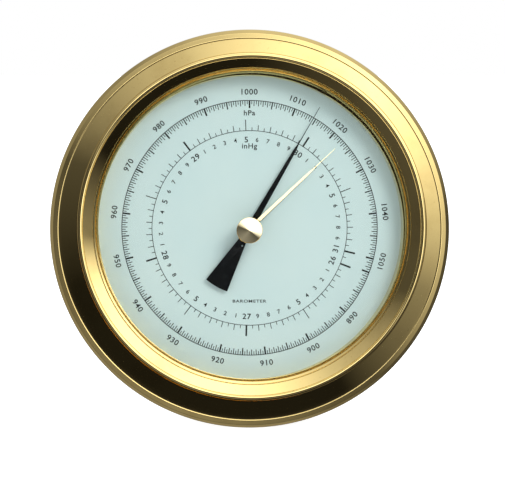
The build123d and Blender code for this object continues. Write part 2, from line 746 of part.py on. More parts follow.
def drive_arm():
    """The arm that hangs from the shaft and holds the link's pin."""
    low, high = DRIVE_ARM_LOW_Y, DRIVE_ARM_HIGH_Y
    collar = rod_y(ROCKER_RADIUS + 1.2, low, high + 2, ROCKER_X, ROCKER_Z)
    foot_z = ROCKER_Z - ROCKER_ARM
    bar = block((ROCKER_X - 1.3, ROCKER_X + 1.3), (low, high), (foot_z, ROCKER_Z))
    bar += rod_y(1.3, low, high, ROCKER_X, foot_z)
    pin = rod_y(LINK_PIN_RADIUS, LINK_Y - 1.6, high, ROCKER_X, foot_z)
    bore = rod_y(ROCKER_RADIUS, low - 1, high + 3, ROCKER_X, ROCKER_Z)
    return at_rocker(collar + bar + pin - bore)


def link():
    """A flat link with an eye on the sector's pin and a bent-down ear on the drive arm's pin."""
    travel = TAIL_ARM * sin(radians(SECTOR_FROM_MIDDLE))
    rise = TAIL_ARM * (1 - cos(radians(SECTOR_FROM_MIDDLE)))
    eye_x, ear_x = 0.0, ROCKER_X
    half = 1.0
    low, high = LINK_Z, LINK_Z + LINK_THICKNESS
    strip = block((ear_x - 1.3, eye_x), (LINK_Y - half, LINK_Y + half), (low, high))
    eye = rod(1.7, low, high, eye_x, LINK_Y)
    foot_z = ROCKER_Z - ROCKER_ARM
    ear_y = (LINK_Y - 0.4, LINK_Y + 0.4)
    ear = block((ear_x - 1.3, ear_x + 1.3), ear_y, (foot_z, high)) + rod_y(1.3, *ear_y, ear_x, foot_z)
    whole = strip + eye + ear
    whole -= rod(LINK_PIN_RADIUS + RUNNING_GAP, low - 1, high + 1, eye_x, LINK_Y)
    whole -= rod_y(LINK_PIN_RADIUS + 0.15, LINK_Y - 2, LINK_Y + 2, ear_x, foot_z)
    return Pos(travel, rise, 0) * whole


def bracket_places():
    """The feet of the two rocker brackets."""
    return ((ROCKER_X, ROCKER_LOW_Y - 3.3), (ROCKER_X, ROCKER_HIGH_Y + 3.3))


def rocker_brackets():
    """Two square posts that hold the pivot screws."""
    half = BRACKET_SIZE / 2
    posts = []
    for x, y in bracket_places():
        post = block((x - half, x + half), (y - half, y + half), (BASE_TOP, ROCKER_Z + half))
        post -= rod_y(SCREW_RADIUS, y - 5, y + 5, x, ROCKER_Z)
        posts.append(post - rod(SCREW_RADIUS, BASE_TOP - 1, BASE_TOP + 6, x, y))
    return posts


def bracket_screws():
    return [slotted_screw(x, y, BASE_BACK, 6, head_down=True) for x, y in bracket_places()]


def pivot_screws():
    """Cupped screws in the brackets that the shaft's pivots run in."""
    screws = []
    for (x, y), side in zip(bracket_places(), (-1, 1)):
        inner = y - side * (BRACKET_SIZE / 2 + 0.5)
        seat = y + side * BRACKET_SIZE / 2
        head_end = seat + side * 1.4
        screw = rod_y(SCREW_RADIUS, *sorted((inner, seat)), x, ROCKER_Z)
        screw += rod_y(SCREW_HEAD_RADIUS, *sorted((seat, head_end)), x, ROCKER_Z)
        screw -= rod_y(PIVOT_RADIUS + 0.04, *sorted((inner - side, inner + side * 1.2)), x, ROCKER_Z)
        screws.append(screw - Pos(x, head_end, ROCKER_Z) * Box(6, 1.0, 0.5))
    return screws


# ---------------------------------------------------------------- aneroid capsules

def capsule(back):
    """One corrugated capsule: two dished diaphragms joined at the rim and a flat hub on each side."""
    rim_half = 0.25
    half = CAPSULE_HEIGHT / 2
    dish = half - 0.45
    waves = 3
    wave_height = 0.2
    flat_from = CAPSULE_HUB_RADIUS + 0.6
    rim_from = CAPSULE_RADIUS - 1.4
    points = []
    steps = 8 * waves
    for i in range(steps + 1):
        share = i / steps
        radius = flat_from + (rim_from - flat_from) * share
        height = dish + (rim_half - dish) * share ** 3
        points.append((radius, height + wave_height * sin(2 * pi * waves * share) * (1 - share)))
    middle = back + half

    def diaphragm(side):
        return [(radius, middle + side * height) for radius, height in points]

    upper, lower = diaphragm(1), diaphragm(-1)
    rim = [(CAPSULE_RADIUS, middle - rim_half), (CAPSULE_RADIUS, middle + rim_half)]
    edges = [
        Polyline((0, middle - half), (CAPSULE_HUB_RADIUS, middle - half), lower[0]),
        Spline(*lower),
        Polyline(lower[-1], *rim, upper[-1]),
        Spline(*reversed(upper)),
        Polyline(upper[0], (CAPSULE_HUB_RADIUS, middle + half), (0, middle + half)),
        Line((0, middle + half), (0, middle - half)),
    ]
    return Pos(CAPSULE_X, CAPSULE_Y, 0) * turned(*edges)


def capsule_stack():
    return [capsule(CAPSULE_BACK + CAPSULE_HEIGHT * i) for i in range(CAPSULE_COUNT)]


def capsule_stud():
    """The domed stud on the free end of the stack; its tip carries the bimetal arm."""
    lift = ROCKER_ARM * sin(radians(ROCKER_FROM_MIDDLE))
    under_arm = ROCKER_Z - lift - ARM_THICKNESS / 2 / cos(radians(ROCKER_FROM_MIDDLE))
    tip = under_arm - CONTACT_GAP
    dome = 1.2
    foot_radius, foot_top = 2.6, CAPSULE_TOP + 0.6
    foot = [(foot_radius, CAPSULE_TOP), (foot_radius, foot_top), (dome, foot_top)]
    outline = [
        Polyline((0, tip), (0, CAPSULE_TOP), *foot),
        Line((dome, foot_top), (dome, tip - dome)),
        ThreePointArc((dome, tip - dome), (dome * sin(pi / 4), tip - dome + dome * cos(pi / 4)), (0, tip)),
    ]
    return Pos(CAPSULE_X, CAPSULE_Y, 0) * turned(*outline)


def capsule_foot():
    """The flanged foot that stands the stack on its spring blade."""
    top = SPRING_BLADE_BACK + SPRING_BLADE_THICKNESS
    return rod(4.0, top, CAPSULE_BACK, CAPSULE_X, CAPSULE_Y)


def block_screw_places():
    x = sum(BLADE_BLOCK_X) / 2
    return ((x, CAPSULE_Y + 3.2), (x, CAPSULE_Y - 3.2))


def spring_blade():
    """The flat spring under the capsules, which the adjusting screw lifts."""
    half = 6.0
    z = (SPRING_BLADE_BACK, SPRING_BLADE_BACK + SPRING_BLADE_THICKNESS)
    blade = block((BLADE_BLOCK_X[0], CAPSULE_X), (CAPSULE_Y - half, CAPSULE_Y + half), z)
    blade += rod(half, *z, CAPSULE_X, CAPSULE_Y)
    for x, y in block_screw_places():
        blade -= rod(SCREW_RADIUS, z[0] - 1, z[1] + 1, x, y)
    return blade


def blade_block():
    """The packing block that the blade is screwed down on."""
    solid = block(BLADE_BLOCK_X, (CAPSULE_Y - 6, CAPSULE_Y + 6), (BASE_TOP, SPRING_BLADE_BACK))
    for x, y in block_screw_places():
        solid -= rod(SCREW_RADIUS, BASE_TOP - 1, SPRING_BLADE_BACK + 1, x, y)
    return solid


def blade_screws():
    seat = SPRING_BLADE_BACK + SPRING_BLADE_THICKNESS
    return [slotted_screw(x, y, seat, seat - BASE_BACK) for x, y in block_screw_places()]


def adjusting_screw():
    """Reached through the back: it sets the reading to the local pressure."""
    head_back = 2.4
    head_top = 4.4
    screw = rod(ADJUSTER_RADIUS, head_top, SPRING_BLADE_BACK - 0.05) + rod(2.8, head_back, head_top)
    return Pos(CAPSULE_X, CAPSULE_Y, 0) * (screw - Pos(0, 0, head_back) * Box(7, 0.8, 1.6))


def main():
    os.makedirs("parts", exist_ok=True)
    single = (
        bezel_ring, glass_ring, case_drum, rear_flange, dial_ledge, back_plate,
        glass_pane, glass_gasket, spacer_ring, dial_plate,
        pointer, pointer_boss, set_hand, set_knob, knob_bush, bush_nut, friction_washer,
        base_plate, front_plate, pinion_arbor, sector_gear, link_pin, sector_arbor,
        hairspring, hairspring_collet, hairspring_stud,
        rocking_shaft, bimetal_arm, drive_arm, link,
        capsule_stud, capsule_foot, spring_blade, blade_block, adjusting_screw,
    )
    groups = (
        back_screws, dial_feet, base_spacers, base_screws, pillars, pillar_screws,
        arbor_bearings, sector_bearings, sector_stops, rocker_brackets, bracket_screws,
        pivot_screws, capsule_stack, blade_screws,
    )
    for make in single:
        save(make.__name__, make())
    for make in groups:
        save(make.__name__, *make())


main()
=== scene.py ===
import json
from math import atan2, cos, hypot, pi, radians, sin, sqrt, tan

import bmesh
import bpy
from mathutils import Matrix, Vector


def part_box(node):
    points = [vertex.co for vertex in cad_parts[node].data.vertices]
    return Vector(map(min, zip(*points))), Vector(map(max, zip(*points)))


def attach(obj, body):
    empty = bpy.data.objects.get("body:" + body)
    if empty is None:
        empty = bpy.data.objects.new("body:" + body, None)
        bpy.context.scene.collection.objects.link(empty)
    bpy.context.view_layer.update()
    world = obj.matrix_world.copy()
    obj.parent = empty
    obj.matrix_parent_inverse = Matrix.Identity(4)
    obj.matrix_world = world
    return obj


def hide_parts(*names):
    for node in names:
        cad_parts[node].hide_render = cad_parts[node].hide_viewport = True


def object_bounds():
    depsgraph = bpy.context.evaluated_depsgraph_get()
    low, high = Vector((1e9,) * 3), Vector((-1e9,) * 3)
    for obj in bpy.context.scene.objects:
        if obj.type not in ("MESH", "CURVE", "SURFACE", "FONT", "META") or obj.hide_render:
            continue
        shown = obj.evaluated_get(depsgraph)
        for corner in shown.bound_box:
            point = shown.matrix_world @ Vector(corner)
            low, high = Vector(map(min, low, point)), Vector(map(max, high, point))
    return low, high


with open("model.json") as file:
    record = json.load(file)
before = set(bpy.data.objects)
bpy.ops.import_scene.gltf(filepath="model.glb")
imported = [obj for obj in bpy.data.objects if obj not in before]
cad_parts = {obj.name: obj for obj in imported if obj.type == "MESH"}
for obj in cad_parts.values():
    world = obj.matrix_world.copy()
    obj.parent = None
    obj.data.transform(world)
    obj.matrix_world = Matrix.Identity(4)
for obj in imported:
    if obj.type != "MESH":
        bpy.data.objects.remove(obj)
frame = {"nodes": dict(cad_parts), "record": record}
cad_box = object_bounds()

# The barometer hangs on a wall at Y = 0 with its dial facing -Y. Sizes below are millimetres,
# heights are measured from the wall towards the viewer, and dial angles run clockwise from 12 o'clock.
MM = 0.001
TURNED_SEGMENTS = 360

# ---- heights and radii of the case and dial, as the frame has them
DIAL_FACE = -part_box("dial_plate")[0].y / MM
GLASS_FRONT = -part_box("glass_pane")[0].y / MM
GLASS_REAR = -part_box("glass_pane")[1].y / MM
GLASS_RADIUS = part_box("glass_pane")[1].x / MM
GLASS_HOLE_RADIUS = 2.7
CASE_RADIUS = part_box("bezel_ring")[1].x / MM
CASE_FRONT = -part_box("glass_ring")[0].y / MM
BEZEL_REAR = -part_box("bezel_ring")[1].y / MM
DRUM_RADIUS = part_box("case_drum")[1].x / MM
DRUM_REAR = -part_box("case_drum")[1].y / MM
DRUM_FRONT = -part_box("case_drum")[0].y / MM
DRUM_WALL = 1.5
THREAD_RADIUS = 76.3
SIGHT_RADIUS = 65.2
BEZEL_SEAT_RADIUS = 70.8
GLASS_RING_RADIUS = 74.2
GLASS_RING_SHIFT = (0.95, 1.4)

# ---- hands and knob
SET_HAND_ANGLE = 46.7
SET_HAND_REAR = -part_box("set_hand")[1].y / MM
KNOB_RADIUS = 5.5
KNOB_TOP = -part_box("set_knob")[0].y / MM
KNOB_REAR = 48.7
KNOB_RIM = 51.0
KNOB_SHAFT_RADIUS = 1.5

# ---- printed scales
PRINT_LIFT = 0.02
PRINT_THICKNESS = 0.02
HPA_CENTRE = 1000
HPA_LOW = 880
HPA_HIGH = 1050
DEGREES_PER_HPA = 2.08
HPA_CIRCLE = 54.7
HPA_LABEL_RADIUS = 58.4
INHG_CENTRE = 29.53
INHG_LOW = 26
INHG_HIGH = 31
DEGREES_PER_INHG = 70.44
INHG_CIRCLE = 41.8
INHG_LABEL_RADIUS = 38.0
FIGURE_HEIGHT = 2.45
SMALL_FIGURE_HEIGHT = 1.85

# ---- camera and floor
CAMERA_DISTANCE = 1.3
CAMERA_ELEVATION = 4.5
CAMERA_LENS = 217.6
CAMERA_AIM = Vector((1.27, -45.7, -4.45)) * MM
FLOOR_SIZE = 12.0


# ---------------------------------------------------------------- mesh helpers

def place(x, y, height):
    """A point of the dial plane, x right and y up, at a height above the wall."""
    return Vector((x, -height, y)) * MM


def clockwise(radius, angle):
    """A point on the dial from its radius and its angle clockwise from 12."""
    return radius * sin(radians(angle)), radius * cos(radians(angle))


def add_object(name, mesh, material, body):
    """Links a mesh as a piece that rides on a CAD body."""
    piece = bpy.data.objects.new(name, mesh)
    bpy.context.scene.collection.objects.link(piece)
    mesh.materials.append(material)
    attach(piece, body)
    return piece


def shade_smooth(mesh, sharp_angle=28.0):
    mesh.shade_smooth()
    mesh.set_sharp_from_angle(angle=radians(sharp_angle))


def circle_through(first, second, third):
    """Centre and radius of the circle through three outline points."""
    (ax, ay), (bx, by), (cx, cy) = first, second, third
    scale = 2 * (ax * (by - cy) + bx * (cy - ay) + cx * (ay - by))
    a2, b2, c2 = ax * ax + ay * ay, bx * bx + by * by, cx * cx + cy * cy
    x0 = (a2 * (by - cy) + b2 * (cy - ay) + c2 * (ay - by)) / scale
    y0 = (a2 * (cx - bx) + b2 * (ax - cx) + c2 * (bx - ax)) / scale
    return x0, y0, hypot(ax - x0, ay - y0)


def arc(start, via, end, steps=12):
    """Points after start on the circle through three outline points, up to end."""
    x0, y0, radius = circle_through(start, via, end)
    first = atan2(start[1] - y0, start[0] - x0)
    middle = (atan2(via[1] - y0, via[0] - x0) - first) % (2 * pi)
    sweep = (atan2(end[1] - y0, end[0] - x0) - first) % (2 * pi)
    if middle > sweep:
        sweep -= 2 * pi
    turns = [first + sweep * i / steps for i in range(1, steps + 1)]
    return [(x0 + radius * cos(turn), y0 + radius * sin(turn)) for turn in turns]


def outline(start, *moves):
    """An outline of (radius, height) points: a move is an end point, or (via, end) for an arc."""
    points = [start]
    for move in moves:
        if isinstance(move[0], tuple):
            points += arc(points[-1], *move)
        else:
            points.append(move)
    return points


def spun(name, section_at, segments=TURNED_SEGMENTS, centre=(0, 0)):
    """Spins a closed section round an axis; section_at gives its (radius, height) points at a turn."""
    turns = [2 * pi * i / segments for i in range(segments)]
    sections = [section_at(turn) for turn in turns]
    mesh = bpy.data.meshes.new(name)
    builder = bmesh.new()
    rings = []
    for k, (radius, height) in enumerate(sections[0]):
        if abs(radius) < 1e-6:
            rings.append([builder.verts.new(place(*centre, height))] * segments)
            continue
        ring = []
        for section, turn in zip(sections, turns):
            radius, height = section[k]
            spot = place(centre[0] + radius * cos(turn), centre[1] + radius * sin(turn), height)
            ring.append(builder.verts.new(spot))
        rings.append(ring)
    for here, there in zip(rings, rings[1:] + rings[:1]):
        for i in range(segments):
            j = (i + 1) % segments
            corners = dict.fromkeys((here[i], here[j], there[j], there[i]))
            if len(corners) > 2:
                builder.faces.new(corners)
    bmesh.ops.recalc_face_normals(builder, faces=builder.faces)
    builder.to_mesh(mesh)
    builder.free()
    shade_smooth(mesh)
    return mesh


def turned(name, points, segments=TURNED_SEGMENTS, centre=(0, 0)):
    """A solid of revolution with the same section all round."""
    return spun(name, lambda turn: points, segments, centre)


def bevelled_copy(name, node, width, segments=2):
    """The mesh of a CAD node with its sharp edges rounded."""
    mesh = frame["nodes"][node].data.copy()
    mesh.name = name
    mesh.materials.clear()
    builder = bmesh.new()
    builder.from_mesh(mesh)
    bmesh.ops.remove_doubles(builder, verts=builder.verts, dist=1e-7)
    bmesh.ops.dissolve_limit(
        builder,
        angle_limit=radians(0.5),
        verts=builder.verts,
        edges=builder.edges,
        use_dissolve_boundaries=False,
    )
    corner = radians(35)
    edges = [e for e in builder.edges if e.is_manifold and e.calc_face_angle(0) > corner]
    bmesh.ops.bevel(
        builder,
        geom=edges,
        offset=width * MM,
        segments=segments,
        affect="EDGES",
        clamp_overlap=True,
        profile=0.5,
    )
    builder.to_mesh(mesh)
    builder.free()
    shade_smooth(mesh, 40)
    return mesh


# ---------------------------------------------------------------- material helpers

def seen(red, green, blue):
    """A colour as the eye sees it, 0 to 255, in linear light."""
    def linear(value):
        share = value / 255
        return share / 12.92 if share <= 0.04045 else ((share + 0.055) / 1.055) ** 2.4

    return linear(red), linear(green), linear(blue), 1.0


class Nodes:
    """A node tree with short calls for adding and joining nodes."""

    def __init__(self, tree):
        self.tree = tree
        tree.nodes.clear()

    def add(self, kind, settings=None, **inputs):
        node = self.tree.nodes.new(kind)
        for key, value in (settings or {}).items():
            setattr(node, key, value)
        for key, value in inputs.items():
            self.feed(node.inputs[key.replace("_", " ")], value)
        return node

    def feed(self, socket, value):
        if isinstance(value, bpy.types.NodeSocket):
            self.tree.links.new(value, socket)
        else:
            socket.default_value = value

    def math(self, operation, *values):
        node = self.tree.nodes.new("ShaderNodeMath")
        node.operation = operation
        for socket, value in zip(node.inputs, values):
            self.feed(socket, value)
        return node.outputs[0]

    def spread(self, value, low, high, to_low=0.0, to_high=1.0, smooth=False):
        """Maps a value from one range to another, held at both ends."""
        node = self.tree.nodes.new("ShaderNodeMapRange")
        node.interpolation_type = "SMOOTHSTEP" if smooth else "LINEAR"
        for socket, number in zip(node.inputs, (value, low, high, to_low, to_high)):
            self.feed(socket, number)
        return node.outputs[0]

    def mix(self, share, first, second):
        node = self.tree.nodes.new("ShaderNodeMix")
        node.data_type = "RGBA"
        self.feed(node.inputs[0], share)
        self.feed(node.inputs[6], first)
        self.feed(node.inputs[7], second)
        return node.outputs[2]

    def ramp(self, share, stops):
        """A colour ramp from (position, colour) stops."""
        node = self.tree.nodes.new("ShaderNodeValToRGB")
        elements = node.color_ramp.elements
        elements.remove(elements[1])
        elements[0].position, elements[0].color = stops[0]
        for position, colour in stops[1:]:
            element = elements.new(position)
            element.color = colour
        self.feed(node.inputs[0], share)
        return node.outputs[0]

    def noise(self, vector, scale, detail=2.0, roughness=0.5):
        node = self.add("ShaderNodeTexNoise", Scale=scale, Detail=detail, Roughness=roughness)
        self.feed(node.inputs["Vector"], vector)
        return node.outputs[0]

    def place(self):
        """The point on the object, in metres."""
        return self.tree.nodes.new("ShaderNodeTexCoord").outputs["Object"]

    def stretched(self, vector, x, y, z):
        node = self.tree.nodes.new("ShaderNodeVectorMath")
        node.operation = "MULTIPLY"
        self.feed(node.inputs[0], vector)
        node.inputs[1].default_value = (x, y, z)
        return node.outputs[0]

    def radius(self):
        """Distance from the arbor's axis, in metres."""
        parts = self.add("ShaderNodeSeparateXYZ", Vector=self.place())
        across = self.math("POWER", parts.outputs[0], 2.0)
        upward = self.math("POWER", parts.outputs[2], 2.0)
        return self.math("SQRT", self.math("ADD", across, upward))

    def lathe_place(self, along=0.0004):
        """Coordinates that change fast across a turning mark and slowly along it."""
        parts = self.add("ShaderNodeSeparateXYZ", Vector=self.place())
        radius = self.radius()
        across = self.math("ADD", radius, self.math("MULTIPLY", parts.outputs[1], 0.7))
        joined = self.tree.nodes.new("ShaderNodeCombineXYZ")
        self.feed(joined.inputs[0], across)
        for socket, part in ((1, parts.outputs[0]), (2, parts.outputs[2])):
            unit = self.math("DIVIDE", part, self.math("ADD", radius, 1e-5))
            self.feed(joined.inputs[socket], self.math("MULTIPLY", unit, along))
        return joined.outputs[0]

    def bump(self, height, distance):
        node = self.tree.nodes.new("ShaderNodeBump")
        node.inputs["Strength"].default_value = 1.0
        node.inputs["Distance"].default_value = distance
        self.feed(node.inputs["Height"], height)
        return node.outputs[0]

    def surface(self, **inputs):
        """The Principled shader and the output."""
        shader = self.add("ShaderNodeBsdfPrincipled", **inputs)
        output = self.tree.nodes.new("ShaderNodeOutputMaterial")
        self.tree.links.new(shader.outputs[0], output.inputs[0])
        return shader


def material_nodes(name):
    material = bpy.data.materials.new(name)
    material.use_nodes = True
    return material, Nodes(material.node_tree)


# ---- metals, and the darker tone that each one tarnishes to
BRASS = (0.86, 0.66, 0.27, 1.0)
BRASS_TARNISH = seen(150, 118, 50)
SPUN_BRASS = seen(205, 168, 92)
SPUN_BRASS_TARNISH = seen(140, 110, 62)
BRIGHT_BRASS = (0.90, 0.79, 0.50, 1.0)
BRIGHT_BRASS_TARNISH = seen(215, 190, 130)
CAPSULE_METAL = seen(206, 200, 184)
CAPSULE_TARNISH = seen(160, 152, 136)


def turned_metal(name, colour, dark, roughness=(0.05, 0.12), mark_depth=0.000004, stain=0.35):
    """Lathe-turned metal: concentric marks, uneven polish and a little tarnish."""
    material, nodes = material_nodes(name)
    lathe = nodes.lathe_place()
    marks = nodes.noise(lathe, 2600.0, 4.0, 0.65)
    clouds = nodes.noise(nodes.place(), 38.0, 4.0, 0.6)
    specks = nodes.noise(nodes.place(), 900.0, 3.0, 0.6)
    tarnish = nodes.spread(clouds, 0.45, 0.78, 0.0, stain, smooth=True)
    speckled = nodes.math("ADD", tarnish, nodes.spread(specks, 0.62, 0.8, 0.0, 0.25))
    base = nodes.mix(speckled, colour, dark)
    mark_polish = nodes.spread(marks, 0.3, 0.7, *roughness)
    polish = nodes.math("ADD", mark_polish, nodes.spread(clouds, 0.4, 0.8, 0.0, 0.05))
    nodes.surface(Base_Color=base, Metallic=1.0, Roughness=polish, Normal=nodes.bump(marks, mark_depth))
    return material


def brushed_metal(name, colour, dark, stretch=(60, 60, 900), roughness=(0.25, 0.42)):
    """Plate or bar metal with straight grain."""
    material, nodes = material_nodes(name)
    grain = nodes.noise(nodes.stretched(nodes.place(), *stretch), 3.0, 4.0, 0.6)
    clouds = nodes.noise(nodes.place(), 60.0, 3.0, 0.6)
    base = nodes.mix(nodes.spread(clouds, 0.35, 0.75), colour, dark)
    polish = nodes.spread(grain, 0.3, 0.7, *roughness)
    nodes.surface(Base_Color=base, Metallic=1.0, Roughness=polish, Normal=nodes.bump(grain, 0.00001))
    return material


def dial_enamel():
    """Pale blue-green matt lacquer with a faint mottle."""
    material, nodes = material_nodes("dial enamel")
    mottle = nodes.noise(nodes.place(), 45.0, 3.0, 0.55)
    grain = nodes.noise(nodes.place(), 2400.0, 3.0, 0.6)
    base = nodes.mix(nodes.spread(mottle, 0.3, 0.7), seen(213, 229, 229), seen(208, 226, 227))
    rough = nodes.spread(grain, 0.3, 0.7, 0.5, 0.62)
    nodes.surface(Base_Color=base, Roughness=rough, Normal=nodes.bump(grain, 0.000004))
    return material


def printing_ink():
    material, nodes = material_nodes("printing ink")
    wear = nodes.noise(nodes.place(), 1800.0, 3.0, 0.6)
    base = nodes.mix(nodes.spread(wear, 0.35, 0.75), seen(12, 13, 14), seen(30, 32, 34))
    nodes.surface(Base_Color=base, Roughness=nodes.spread(wear, 0.3, 0.7, 0.5, 0.7))
    return material


def black_lacquer():
    material, nodes = material_nodes("black lacquer")
    peel = nodes.noise(nodes.place(), 1500.0, 3.0, 0.6)
    dust = nodes.noise(nodes.place(), 300.0, 4.0, 0.7)
    base = nodes.mix(nodes.spread(dust, 0.5, 0.8), seen(14, 15, 17), seen(30, 32, 35))
    rough = nodes.spread(dust, 0.3, 0.7, 0.3, 0.4)
    shader = nodes.surface(Base_Color=base, Roughness=rough, Normal=nodes.bump(peel, 0.000004))
    shader.inputs["Specular IOR Level"].default_value = 0.15
    return material


def gasket_rubber():
    material, nodes = material_nodes("gasket rubber")
    grain = nodes.noise(nodes.place(), 2000.0, 3.0, 0.6)
    base = nodes.mix(grain, seen(30, 30, 30), seen(52, 52, 50))
    rough = nodes.spread(grain, 0.3, 0.7, 0.7, 0.9)
    nodes.surface(Base_Color=base, Roughness=rough, Normal=nodes.bump(grain, 0.00002))
    return material


def clear_glass():
    """Flat glass that lets light through to the dial without caustics."""
    material, nodes = material_nodes("clear glass")
    smear = nodes.noise(nodes.place(), 70.0, 4.0, 0.6)
    rough = nodes.spread(smear, 0.55, 0.8, 0.0, 0.02)
    shader = nodes.add(
        "ShaderNodeBsdfPrincipled", Base_Color=(0.985, 1.0, 0.995, 1.0), Roughness=rough, IOR=1.5
    )
    shader.inputs["Transmission Weight"].default_value = 1.0
    clear = nodes.add("ShaderNodeBsdfTransparent", Color=(0.96, 0.98, 0.975, 1.0))
    path = nodes.add("ShaderNodeLightPath")
    lets_through = nodes.math("MAXIMUM", path.outputs["Is Shadow Ray"], path.outputs["Is Diffuse Ray"])
    mixed = nodes.add("ShaderNodeMixShader")
    nodes.feed(mixed.inputs[0], lets_through)
    nodes.feed(mixed.inputs[1], shader.outputs[0])
    nodes.feed(mixed.inputs[2], clear.outputs[0])
    output = nodes.add("ShaderNodeOutputMaterial")
    nodes.feed(output.inputs[0], mixed.outputs[0])
    return material


def make_materials():
    """One material for each finish in the record."""
    return {
        "polished_brass": turned_metal("polished brass", BRASS, BRASS_TARNISH, (0.03, 0.08), 0.000003, 0.25),
        "drum_brass": turned_metal("spun brass", SPUN_BRASS, SPUN_BRASS_TARNISH, (0.2, 0.34), 0.00001),
        "movement_brass": brushed_metal("milled brass", seen(214, 180, 104), seen(176, 142, 80)),
        "bright_brass": turned_metal(
            "bright brass", BRIGHT_BRASS, BRIGHT_BRASS_TARNISH, (0.04, 0.09), 0.000002, 0.15
        ),
        "steel": brushed_metal("turned steel", seen(190, 190, 192), seen(150, 150, 154)),
        "spring_steel": brushed_metal("blued spring steel", seen(84, 92, 128), seen(120, 104, 110)),
        "bimetal": brushed_metal("bimetal strip", seen(206, 190, 156), seen(160, 140, 112)),
        "capsule_metal": turned_metal("capsule metal", CAPSULE_METAL, CAPSULE_TARNISH, (0.2, 0.32)),
        "glass": clear_glass(),
        "gasket_rubber": gasket_rubber(),
        "dial_enamel": dial_enamel(),
        "black_lacquer": black_lacquer(),
    }


materials = make_materials()
slot_of = {part["node"]: part["material_slot"] for part in frame["record"]["subparts"]}


def finish_cad_nodes():
    """Gives each carried-over CAD node the material of its slot."""
    for name, node in frame["nodes"].items():
        node.data.materials.clear()
        node.data.materials.append(materials[slot_of[name]])


def replace_node(name, node, body, mesh):
    """Shows a mesh in place of a CAD node, in that node's finish."""
    slot = slot_of[node]
    piece = add_object(name, mesh, materials[slot], body)
    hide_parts(node)
    return piece


# ---------------------------------------------------------------- case

def bore_radius(turn):
    """Distance from the arbor to the off-centre bore that holds the glass ring."""
    x, y = GLASS_RING_SHIFT
    along = x * cos(turn) + y * sin(turn)
    aside = x * sin(turn) - y * cos(turn)
    return along + sqrt(GLASS_RING_RADIUS ** 2 - aside ** 2)


def bezel_section(turn):
    """The rim's section: skirt, rounded edge, facet and coved band, up to the glass ring's bore."""
    skirt = THREAD_RADIUS + 0.05
    band_low = (81.1, 49.05)
    x0, y0, band_radius = circle_through(band_low, (76.8, 50.85), (72.3, 53.15))
    bore = bore_radius(turn)
    band_steps = 24
    band = []
    for i in range(1, band_steps + 1):
        radius = band_low[0] + (bore - band_low[0]) * i / band_steps
        band.append((radius, y0 - sqrt(band_radius ** 2 - (radius - x0) ** 2)))
    seat_back = DRUM_FRONT + 0.4
    outside = outline(
        (skirt, BEZEL_REAR),
        (79.9, BEZEL_REAR),
        ((80.1, BEZEL_REAR + 0.03), (80.25, BEZEL_REAR + 0.2)),
        (81.0, BEZEL_REAR + 0.8),
        (83.4, 44.1),
        ((84.53, 44.57), (CASE_RADIUS, 45.7)),
        ((84.9, 46.48), (84.54, 47.29)),
        (84.5, 47.35),
        (83.46, 48.58),
        (83.4, 48.65),
        (83.33, 48.68),
        ((82.58, 48.91), (81.82, 49.13)),
        ((81.4, 49.17), band_low),
    )
    inside = [
        (bore, GLASS_FRONT),
        (BEZEL_SEAT_RADIUS, GLASS_FRONT),
        (BEZEL_SEAT_RADIUS, seat_back),
        (skirt, seat_back),
    ]
    return outside + band + inside


def glass_ring_outline():
    """Rounded ridge, a fine groove, the inner slope, another groove and the lip."""
    return outline(
        (SIGHT_RADIUS, GLASS_FRONT),
        (GLASS_RING_RADIUS, GLASS_FRONT),
        (GLASS_RING_RADIUS, 52.33),
        ((73.83, 52.97), (72.8, CASE_FRONT)),
        ((72.3, 53.33), (71.9, 53.16)),
        (71.75, 52.85),
        (71.6, 52.9),
        ((69.5, 51.35), (67.4, 49.5)),
        (67.25, 49.25),
        (67.1, 49.35),
        (67.0, 49.27),
        (SIGHT_RADIUS + 0.1, 47.34),
        (SIGHT_RADIUS, 47.2),
    )


def drum_outline():
    """A plain tube with a rounded rear edge, stepped where the bezel screws on."""
    inside = DRUM_RADIUS - DRUM_WALL
    step = BEZEL_REAR - 0.4
    return outline(
        (inside, DRUM_REAR),
        (DRUM_RADIUS - 0.3, DRUM_REAR),
        ((DRUM_RADIUS - 0.09, DRUM_REAR + 0.09), (DRUM_RADIUS, DRUM_REAR + 0.3)),
        (DRUM_RADIUS, step - 0.2),
        (DRUM_RADIUS - 0.2, step),
        (THREAD_RADIUS, step),
        (THREAD_RADIUS, DRUM_FRONT),
        (inside, DRUM_FRONT),
    )


def spacer_outline():
    top = -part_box("spacer_ring")[0].y / MM
    inside = DRUM_RADIUS - DRUM_WALL
    return outline(
        (SIGHT_RADIUS - 0.3, DIAL_FACE),
        (SIGHT_RADIUS + 1.2, DIAL_FACE),
        (SIGHT_RADIUS + 1.8, top - 1.5),
        (inside - 0.3, top - 1.5),
        (inside - 0.3, top),
        (SIGHT_RADIUS + 0.6, top),
        (SIGHT_RADIUS + 0.38, top - 0.25),
    )


def glass_outline():
    edge = 0.15
    return outline(
        (GLASS_HOLE_RADIUS + edge, GLASS_REAR),
        (GLASS_RADIUS - edge, GLASS_REAR),
        (GLASS_RADIUS, GLASS_REAR + edge),
        (GLASS_RADIUS, GLASS_FRONT - edge),
        (GLASS_RADIUS - edge, GLASS_FRONT),
        (GLASS_HOLE_RADIUS + edge, GLASS_FRONT),
        (GLASS_HOLE_RADIUS, GLASS_FRONT - edge),
        (GLASS_HOLE_RADIUS, GLASS_REAR + edge),
    )


